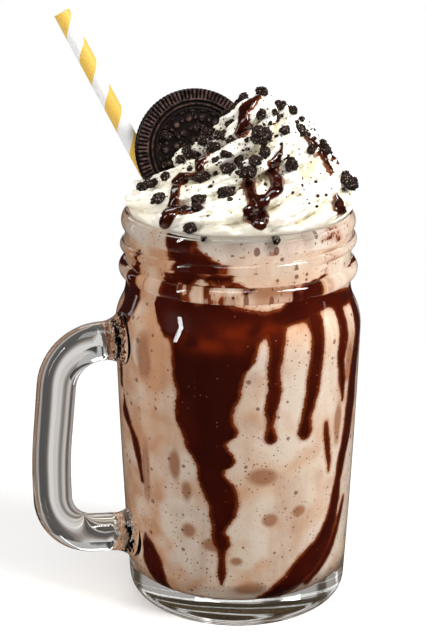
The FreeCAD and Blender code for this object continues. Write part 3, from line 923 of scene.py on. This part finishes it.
# runs as distance to the right of the axis, height, half width, seen from the viewer's side
sauceRuns = {
    "peak": [(7.2, 193.6, 1.2), (4.6, 191.2, 2.0), (2.0, 188.6, 2.5), (1.8, 184.4, 2.4),
        (1.4, 181.0, 2.9)],
    "middle": [(15.9, 175.4, 0.8), (15.0, 172.0, 1.7), (12.8, 168.6, 2.7), (12.6, 165.6, 2.4),
        (14.4, 162.4, 2.5), (14.2, 159.4, 2.6), (10.6, 156.4, 1.8), (7.4, 153.4, 3.6),
        (6.4, 150.2, 5.0), (7.6, 148.2, 4.2)],
    "middleLobe": [(3.4, 163.4, 2.4), (3.6, 160.4, 3.0), (5.0, 156.6, 2.4), (6.6, 153.0, 3.0)],
    "left": [(-11.8, 172.0, 1.7), (-13.8, 169.6, 1.9), (-14.0, 165.4, 1.9), (-17.4, 164.6, 1.5),
        (-20.6, 164.2, 1.8), (-22.8, 161.6, 2.0), (-23.2, 156.8, 1.9), (-24.4, 151.4, 2.4),
        (-26.8, 147.0, 2.6)],
    "leftBranch": [(-23.0, 151.6, 1.6), (-17.8, 150.8, 1.8)],
    "right": [(24.6, 178.6, 1.1), (27.6, 175.6, 1.6), (30.6, 172.4, 1.6), (32.8, 168.0, 1.2),
        (34.0, 165.8, 0.8)],
    "rightDrop": [(35.4, 158.4, 0.8), (36.6, 154.4, 2.2), (37.2, 151.6, 2.5)],
}


def facingHit(tree, right, height, azimuth):
    eye = eyeAt(azimuth)
    target = rightOf(azimuth) * right * mm + Vector((0, 0, height * mm))
    return tree.ray_cast(eye, (target - eye).normalized())


def withoutHairs(used):
    sides = ((0, 1), (0, -1), (1, 0), (-1, 0))
    grown = used.copy()
    for side in sides:
        grown &= np.roll(used, side, (0, 1))
    for side in sides * 3:
        grown |= np.roll(grown, side, (0, 1))
    return used & grown


def saucePatch(tree, runs, azimuth, s):
    spots = np.array([p for run in runs for p in run])
    lowX, highX = spots[:, 0].min() - 7, spots[:, 0].max() + 7
    lowZ, highZ = spots[:, 1].min() - 7, spots[:, 1].max() + 7
    across = np.arange(lowX, highX, s["grid"])
    heights = np.arange(lowZ, highZ, s["grid"])
    x, z = np.meshgrid(across, heights)
    depth = np.full(x.shape, -1e3)
    for run in runs:
        depth = smoothMax(depth, capsuleDepth(x, z, run), 1.2)
    flat = np.stack([x, z, np.full(x.shape, azimuth * 1.0)], axis=-1)
    depth = depth + wave(flat, 4.0, 2.0) * 0.55 + wave(flat, 1.6, 5.0) * 0.2
    place = np.full((*x.shape, 3), np.nan)
    facing = np.zeros((*x.shape, 3))
    for j, i in zip(*np.where(depth > -1.2)):
        hit, normal, _, _ = facingHit(tree, x[j, i], z[j, i], azimuth)
        if hit is not None:
            place[j, i] = hit
            facing[j, i] = normal
    known = ~np.isnan(place[..., 0])
    for _ in range(12):
        total = np.zeros_like(place)
        weight = np.zeros(x.shape)
        way = np.zeros_like(facing)
        for dj, di in ((0, 1), (0, -1), (1, 0), (-1, 0), (0, 0)):
            shifted = np.roll(place, (dj, di), (0, 1))
            near = np.roll(known, (dj, di), (0, 1))
            total += np.where(near[..., None], shifted, 0)
            way += np.where(near[..., None], np.roll(facing, (dj, di), (0, 1)), 0)
            weight += near
        safe = np.maximum(weight, 1)[..., None]
        place = np.where(known[..., None], total / safe, np.nan)
        facing = np.where(known[..., None], way / safe, 0)
    facing /= np.maximum(np.linalg.norm(facing, axis=-1, keepdims=True), 1e-6)
    inward = 1 - np.clip(depth / s["shoulder"], 0, 1)
    swell = s["thick"] * np.sqrt(np.clip(1 - inward * inward, 0, 1))
    lift = np.where(depth > 0, swell, depth * 1.2) - s["sink"] * (depth < 0.3)
    place = place + facing * lift[..., None] * mm
    toViewer = np.array(towardOf(azimuth))
    return place, withoutHairs(known & (depth > -0.9) & (facing @ toViewer > 0.16)), depth


def joinPatches(name, patches):
    vertices, faces, depths = [], [], []
    for place, used, depth in patches:
        rows, columns = used.shape
        index = -np.ones(used.shape, dtype=int)
        for j, i in zip(*np.where(used)):
            index[j, i] = len(vertices)
            vertices.append(tuple(place[j, i]))
            depths.append(depth[j, i])
        for j in range(rows - 1):
            for i in range(columns - 1):
                ring = (index[j, i], index[j, i + 1], index[j + 1, i + 1], index[j + 1, i])
                if min(ring) >= 0:
                    faces.append(ring)
    piece = meshPiece(name, vertices, faces)
    setFloat(piece, "runDepth", depths)
    return piece


def sauceMaterial():
    material, tree, shader = newMaterial("chocolateSauce", {
        "Roughness": 0.12, "Coat Weight": 0.5, "Coat Roughness": 0.05})
    coords = objectCoords(tree)
    tone = spread(tree, noiseOn(tree, coords, 260, 2.0), 0.3, 0.75)
    colour = blendColours(tree, tone, (0.013, 0.0015, 0.0005), (0.034, 0.0048, 0.0013))
    thin = spread(tree, attribute(tree, "runDepth"), -0.4, 1.0, 1.0, 0)
    colour = blendColours(tree, thin, colour, (0.27, 0.060, 0.010))
    joinUp(tree, colour, shader.inputs["Base Color"])
    addBump(tree, shader, noiseOn(tree, coords, 420, 2.0), 0.15, 0.0006)
    return material


creamTree = surfaceTree(cream)
frontPatch = saucePatch(creamTree, list(sauceRuns.values()), cameraSet["azimuth"], sauceSet)
backNames = [name for name in sauceRuns if name not in ("peak", "right")]
sideNames = [name for name in sauceRuns if name[:4] == "left"]
mirrored = [[(-x, z, w) for x, z, w in sauceRuns[name]] for name in backNames]
shifted = [[(x * 0.8 + 4, z, w * 0.9) for x, z, w in sauceRuns[name]] for name in sideNames]
patches = [frontPatch,
           saucePatch(creamTree, mirrored, cameraSet["azimuth"] + 172, sauceSet),
           saucePatch(creamTree, shifted, cameraSet["azimuth"] + 128, sauceSet)]
sauce = joinPatches("creamSauce", patches)
finishPiece(sauce, sauceMaterial(), "sauce")


# cookie crumbs on the cream

crumbSet = {
    "dust": 620,
    "grains": 130,
    "backLumps": 46,
    "lowest": 150,          # heights between which they fall, mm
    "reach": 44,
    "aside": 40,
    "gather": 30,           # degrees either way that the front ones keep to
    "sink": 0.3,            # share of a crumb that lies in the cream
    "lumpSink": 0.22,
    "clearFrom": 16,        # ring round the cookie's middle that stays free of them, mm
    "clearTo": 23.2,
    "clearThick": 5.4,
}

# lumps as distance to the right of the axis, height, size
crumbSpots = [
    (8.2, 195.2, 4.2), (1.8, 192.9, 3.8), (-1.6, 192.0, 2.6), (15.4, 190.1, 3.6),
    (19.3, 188.3, 3.4), (12.6, 188.0, 2.4), (9.0, 186.5, 5.0), (14.0, 185.8, 2.7),
    (16.9, 180.8, 3.4), (21.9, 181.1, 4.4), (7.2, 178.2, 7.4), (-2.5, 177.2, 3.6),
    (9.8, 172.4, 4.0), (0.4, 170.8, 4.2), (5.8, 169.5, 4.8), (1.0, 168.2, 2.8), (3.6, 167.0, 3.8),
    (5.2, 168.8, 2.8), (2.0, 165.4, 3.4), (4.9, 165.0, 3.0), (0.0, 166.0, 2.2), (-4.0, 166.2, 5.2),
    (-5.5, 158.5, 5.6), (-13.5, 162.6, 6.0), (-8.7, 165.1, 1.9), (18.5, 168.4, 4.8),
    (26.0, 174.3, 3.2), (29.9, 175.0, 4.4), (31.6, 173.4, 3.0), (40.0, 161.1, 6.2),
    (39.4, 164.6, 3.0), (-29.2, 154.8, 5.0), (-15.3, 154.8, 4.2), (-13.2, 156.6, 3.0),
    (-15.0, 151.0, 4.6), (-19.4, 150.7, 3.6), (-18.0, 145.8, 4.6), (13.6, 140.9, 3.4),
    (-12.5, 140.6, 1.9), (-33.9, 160.3, 5.2), (-31.0, 161.6, 3.4), (-26.2, 164.0, 3.8),
    (-20.6, 170.3, 3.6), (-17.3, 173.9, 5.2), (-13.0, 176.2, 4.2), (-9.2, 175.4, 5.0),
    (-6.4, 178.8, 4.2), (-10.8, 180.0, 4.6), (-14.8, 172.0, 3.8), (28.4, 162.2, 1.1),
    (28.9, 152.9, 1.1), (-5.4, 172.6, 2.4), (-8.8, 170.6, 2.0),
]


def lumpShape(detail, seed):
    bpy.ops.object.select_all(action="DESELECT")
    bpy.ops.mesh.primitive_ico_sphere_add(subdivisions=detail, radius=0.5)
    ball = bpy.context.object
    for vertex in ball.data.vertices:
        way = vertex.co.normalized()
        swell = 1 + 0.34 * noise.noise(way * 1.3 + Vector((seed, 0, 0)))
        swell += 0.22 * noise.noise(way * 3.4 + Vector((0, seed, 0)))
        if detail > 2:
            swell += 0.16 * noise.noise(way * 7 + Vector((0, 0, seed)))
            swell += 0.10 * noise.noise(way * 15 + Vector((seed, 1, 0)))
        vertex.co = vertex.co * swell
    vertices = np.array([v.co for v in ball.data.vertices])
    faces = [tuple(p.vertices) for p in ball.data.polygons]
    bpy.data.objects.remove(ball)
    return vertices, faces


def scatterPiece(name, placed, shapes):
    vertices, faces = [], []
    for hit, normal, size, sink in placed:
        shape, rings = shapes[dice.randrange(len(shapes))]
        spin = Matrix.Rotation(dice.uniform(0, 6.283), 3, "Z")
        tilt = Vector((0, 0, 1)).rotation_difference(normal).to_matrix()
        squash = [dice.uniform(low, high) for low, high in ((0.8, 1.15), (0.8, 1.15), (0.62, 0.9))]
        turned = (shape * np.array(squash)) @ np.array(tilt @ spin).T
        start = len(vertices)
        at = np.array(hit + normal * size * (0.5 - sink) * mm)
        vertices += [tuple(p) for p in turned * size * mm + at]
        faces += [tuple(start + i for i in ring) for ring in rings]
    return meshPiece(name, vertices, faces, smooth=False)


def crumbMaterial():
    material, tree, shader = newMaterial("cookieCrumb", {
        "Roughness": 0.7, "Specular IOR Level": 0.12})
    coords = objectCoords(tree)
    tone = spread(tree, noiseOn(tree, coords, 1400, 3.0), 0.35, 0.7)
    colour = blendColours(tree, tone, (0.007, 0.0026, 0.0018), (0.046, 0.0240, 0.0180))
    pale = spread(tree, noiseOn(tree, coords, 1700, 2.0), 0.63, 0.69, 0, 0.8)
    colour = blendColours(tree, pale, colour, (0.55, 0.49, 0.42))
    joinUp(tree, colour, shader.inputs["Base Color"])
    addBump(tree, shader, noiseOn(tree, coords, 2200, 3.0), 1.0, 0.0006)
    return material


toppingTree = surfaceTree(cream, cookieFront)
frontAzimuth = cameraSet["azimuth"]


def frontLumps():
    placed = []
    for right, height, size in crumbSpots:
        hit, normal, _, _ = facingHit(toppingTree, right, height, frontAzimuth)
        if hit is None:
            aim = rightOf(frontAzimuth) * right * mm + Vector((0, 0, height * mm))
            hit, normal, _, _ = toppingTree.find_nearest(aim)
        placed.append((hit, normal, size, crumbSet["lumpSink"]))
    return placed


def onCookieEdge(hit):
    centre, normal = cookieAxes()
    gap = hit - centre
    inRing = crumbSet["clearFrom"] * mm < gap.length < crumbSet["clearTo"] * mm
    return inRing and abs(gap.dot(normal)) < crumbSet["clearThick"] * mm


def scattered(count, smallest, largest, everywhere, s):
    placed = []
    while len(placed) < count:
        azimuth = dice.uniform(0, 360) if everywhere else frontAzimuth + dice.gauss(0, s["gather"])
        height = s["lowest"] + s["reach"] * dice.random() ** 0.8
        right = dice.uniform(-s["aside"], s["aside"])
        crowd = math.exp(-((right + 9) / 12) ** 2 - ((height - 176) / 9) ** 2)
        crowd += 1.6 * math.exp(-((right + 9.5) / 5) ** 2 - ((height - 177) / 4) ** 2)
        crowd += 0.4 * math.exp(-((right - 18) / 9) ** 2 - ((height - 184) / 8) ** 2)
        if not everywhere and dice.random() > 0.06 + crowd:
            continue
        hit, normal, _, _ = facingHit(toppingTree, right, height, azimuth)
        if hit is None or hit.z < rim or onCookieEdge(hit):
            continue
        size = smallest + (largest - smallest) * dice.random() ** 2.2
        placed.append((hit, normal, size, s["sink"]))
    return placed


lumpShapes = [lumpShape(4, 3.1 * k) for k in range(7)]
grainShapes = [lumpShape(2, 1.7 * k) for k in range(5)]
dustShapes = [lumpShape(1, 2.3 * k) for k in range(4)]
crumbLook = crumbMaterial()
farLumps = [p for p in scattered(crumbSet["backLumps"], 2.2, 5.6, True, crumbSet)
            if p[0].dot(towardOf(frontAzimuth)) < 4 * mm]
lumps = scatterPiece("cookieLumps", frontLumps() + farLumps, lumpShapes)
finishPiece(lumps, crumbLook, "wafer")
nearGrains = scattered(crumbSet["grains"], 0.8, 2.4, False, crumbSet)
farGrains = scattered(crumbSet["grains"] // 2, 0.8, 2.2, True, crumbSet)
grains = scatterPiece("cookieGrains", nearGrains + farGrains, grainShapes)
finishPiece(grains, crumbLook, "wafer")
nearDust = scattered(crumbSet["dust"], 0.25, 0.8, False, crumbSet)
farDust = scattered(crumbSet["dust"] // 2, 0.25, 0.8, True, crumbSet)
dust = scatterPiece("cookieDust", nearDust + farDust, dustShapes)
finishPiece(dust, crumbLook, "wafer")


# floor, lights and backdrop

studioSet = {
    "floor": (0.84, 0.84, 0.835),
    "seen": 1.0,            # what the camera sees behind the glass
    "lit": 0.60,            # what lights the object
    "mirrored": 0.02,       # what the glass reflects
    "through": 0.46,        # what shows through the glass
    "cardsAway": 0.55,
    "cardTall": 0.5,
    "cardMiddle": 0.25,
    "aim": 0.09,            # height that the boxes look at
    "cards": [              # azimuth, width, tone
        ("blackLeft", -115, 0.20, 0.02), ("whiteLeft", -140, 0.05, 1.8),
        ("blackBackLeft", -160, 0.12, 0.03), ("blackBack", 172, 0.10, 0.04),
        ("whiteBack", 150, 0.04, 1.4), ("blackRight", 100, 0.22, 0.02),
        ("whiteRight", 72, 0.04, 1.4), ("blackFrontLeft", -85, 0.14, 0.02),
    ],
    "boxes": [              # azimuth, elevation, distance, size, watts
        ("keyBox", 46, 48, 0.9, (0.30, 0.30), 7.8), ("leftBox", -78, 26, 1.0, (0.07, 0.7), 2.8),
        ("topBox", -30, 74, 0.9, (0.4, 0.4), 2.4), ("backBox", 165, 35, 1.0, (0.7, 0.4), 2.4),
    ],
}


def softBox(name, azimuth, elevation, distance, size, power, s):
    turn, rise = math.radians(azimuth), math.radians(elevation)
    level = math.cos(rise)
    back = Vector((math.sin(turn) * level, -math.cos(turn) * level, math.sin(rise)))
    bpy.ops.object.light_add(type="AREA", location=back * distance + Vector((0, 0, s["aim"])))
    lamp = bpy.context.object
    lamp.name = name
    lamp.rotation_euler = back.to_track_quat("Z", "Y").to_euler()
    lamp.data.shape = "RECTANGLE"
    lamp.data.size, lamp.data.size_y = size
    lamp.data.energy = power


def stripCard(name, azimuth, wide, tone, s):
    bpy.ops.object.select_all(action="DESELECT")
    bpy.ops.mesh.primitive_plane_add(size=1)
    card = bpy.context.object
    card.name = name
    material, tree, _ = newMaterial(name + "Paint", {})
    paint = addNode(tree, "ShaderNodeEmission", Color=(tone, tone, tone, 1))
    parts = addNode(tree, "ShaderNodeSeparateXYZ")
    joinUp(tree, objectCoords(tree), parts.inputs[0])
    fade = spread(tree, calc(tree, "ABSOLUTE", parts.outputs[0]), wide * 0.2, wide * 0.5)
    mixShaders(tree, fade, paint, addNode(tree, "ShaderNodeBsdfTransparent"))   # soft sides
    card.data.materials.append(material)
    card.data.transform(Matrix.Diagonal((wide, s["cardTall"], 1, 1)))
    card.rotation_euler = (math.radians(90), 0, math.radians(azimuth))
    card.location = towardOf(azimuth) * s["cardsAway"] + Vector((0, 0, s["cardMiddle"]))
    card.visible_camera = False
    card.visible_diffuse = False
    card.visible_shadow = False


def rayLevel(tree, s):
    rays = addNode(tree, "ShaderNodeLightPath")
    level = addNode(tree, "ShaderNodeValue").outputs[0]
    level.default_value = s["lit"]
    for ray, value in (("Is Glossy Ray", s["mirrored"]), ("Is Transmission Ray", s["through"]),
                       ("Is Camera Ray", s["seen"])):
        change = calc(tree, "SUBTRACT", value, level)
        level = calc(tree, "ADD", level, calc(tree, "MULTIPLY", change, rays.outputs[ray]))
    return level, rays


# a pale floor; far off it glows evenly as the backdrop, and seen through the glass its glow carries
# painted reflections and highlights for the glass base
def floorMaterial(s):
    material, tree, shader = newMaterial("paleFloor", {
        "Base Color": (*s["floor"], 1), "Roughness": 0.9, "Specular IOR Level": 0})
    coords = objectCoords(tree)
    away = addNode(tree, "ShaderNodeVectorMath", operation="LENGTH")
    joinUp(tree, coords, away.inputs[0])
    far = spread(tree, away.outputs["Value"], 0.06, 0.30)
    level, rays = rayLevel(tree, s)
    parts = addNode(tree, "ShaderNodeSeparateXYZ")
    joinUp(tree, coords, parts.inputs[0])
    across = calc(tree, "ADD", parts.outputs[0], 0.07)
    turn = calc(tree, "ARCTAN2", calc(tree, "ADD", parts.outputs[1], -0.02), across)
    spoke = addNode(tree, "ShaderNodeCombineXYZ")
    joinUp(tree, turn, spoke.inputs[0])
    seenThrough = rays.outputs["Is Transmission Ray"]
    # painted reflections: seen through the glass, the floor glows in brighter and darker bands
    glowBands = spread(tree, noiseOn(tree, spoke.outputs[0], 1.7, 1.0), 0.38, 0.62, 1.6, 0.2)
    fine = spread(tree, noiseOn(tree, spoke.outputs[0], 21.0, 3.0), 0.3, 0.7, 0.84, 1.14)
    glowBands = calc(tree, "SUBTRACT", calc(tree, "MULTIPLY", glowBands, fine), 1)
    glowBands = calc(tree, "ADD", calc(tree, "MULTIPLY", glowBands, seenThrough), 1)
    # painted reflection: near the jar's foot, seen through the glass, the floor glows dark brown
    # like the drink above the base
    near = spread(tree, away.outputs["Value"], 0.035, 0.10, 1, 0)
    near = calc(tree, "MULTIPLY", near, seenThrough)
    # painted highlight: white streaks in the glow near the foot, seen through the glass
    highlightStreak = spread(tree, noiseOn(tree, spoke.outputs[0], 9.0, 3.0), 0.51, 0.60)
    highlightStreak = calc(tree, "MULTIPLY", highlightStreak, near)
    # painted reflection: amber patches in the glow seen through the glass
    warm = spread(tree, noiseOn(tree, spoke.outputs[0], 5.0, 1.0), 0.45, 0.62, 0.12, 0.6)
    warm = calc(tree, "MULTIPLY", warm, seenThrough)
    paintedReflectionTint = blendColours(tree, warm, (1.0, 1.0, 1.0), (0.62, 0.44, 0.32))
    paintedReflectionTint = blendColours(tree, calc(tree, "MULTIPLY", near, 0.85), paintedReflectionTint, (0.34, 0.225, 0.09))
    glow = addNode(tree, "ShaderNodeEmission")
    joinUp(tree, blendColours(tree, highlightStreak, paintedReflectionTint, (1.0, 1.0, 0.97)), glow.inputs["Color"])
    strength = calc(tree, "MULTIPLY", level, glowBands)
    strength = calc(tree, "ADD", strength, calc(tree, "MULTIPLY", highlightStreak, 1.3))
    joinUp(tree, strength, glow.inputs["Strength"])
    share = calc(tree, "MAXIMUM", calc(tree, "MULTIPLY", far, rays.outputs["Is Camera Ray"]),
                 rays.outputs["Is Glossy Ray"])
    mixShaders(tree, share, shader, glow)
    return material


def makeStudio(s):
    bpy.ops.object.select_all(action="DESELECT")
    bpy.ops.mesh.primitive_plane_add(size=12)
    floor = bpy.context.object
    floor.name = "floorSheet"
    floor.data.materials.append(floorMaterial(s))
    for box in s["boxes"]:
        softBox(*box, s)
    for name, azimuth, wide, tone in s["cards"]:
        stripCard(name, azimuth, wide, tone, s)
    world = bpy.data.worlds.new("studioAir")
    bpy.context.scene.world = world
    world.use_nodes = True
    level, _ = rayLevel(world.node_tree, s)
    air = world.node_tree.nodes["Background"]
    joinUp(world.node_tree, level, air.inputs["Strength"])
    air.inputs["Color"].default_value = (1, 1, 1, 1)


makeStudio(studioSet)
bpy.context.scene.view_settings.view_transform = "Standard"
print("all pieces made")
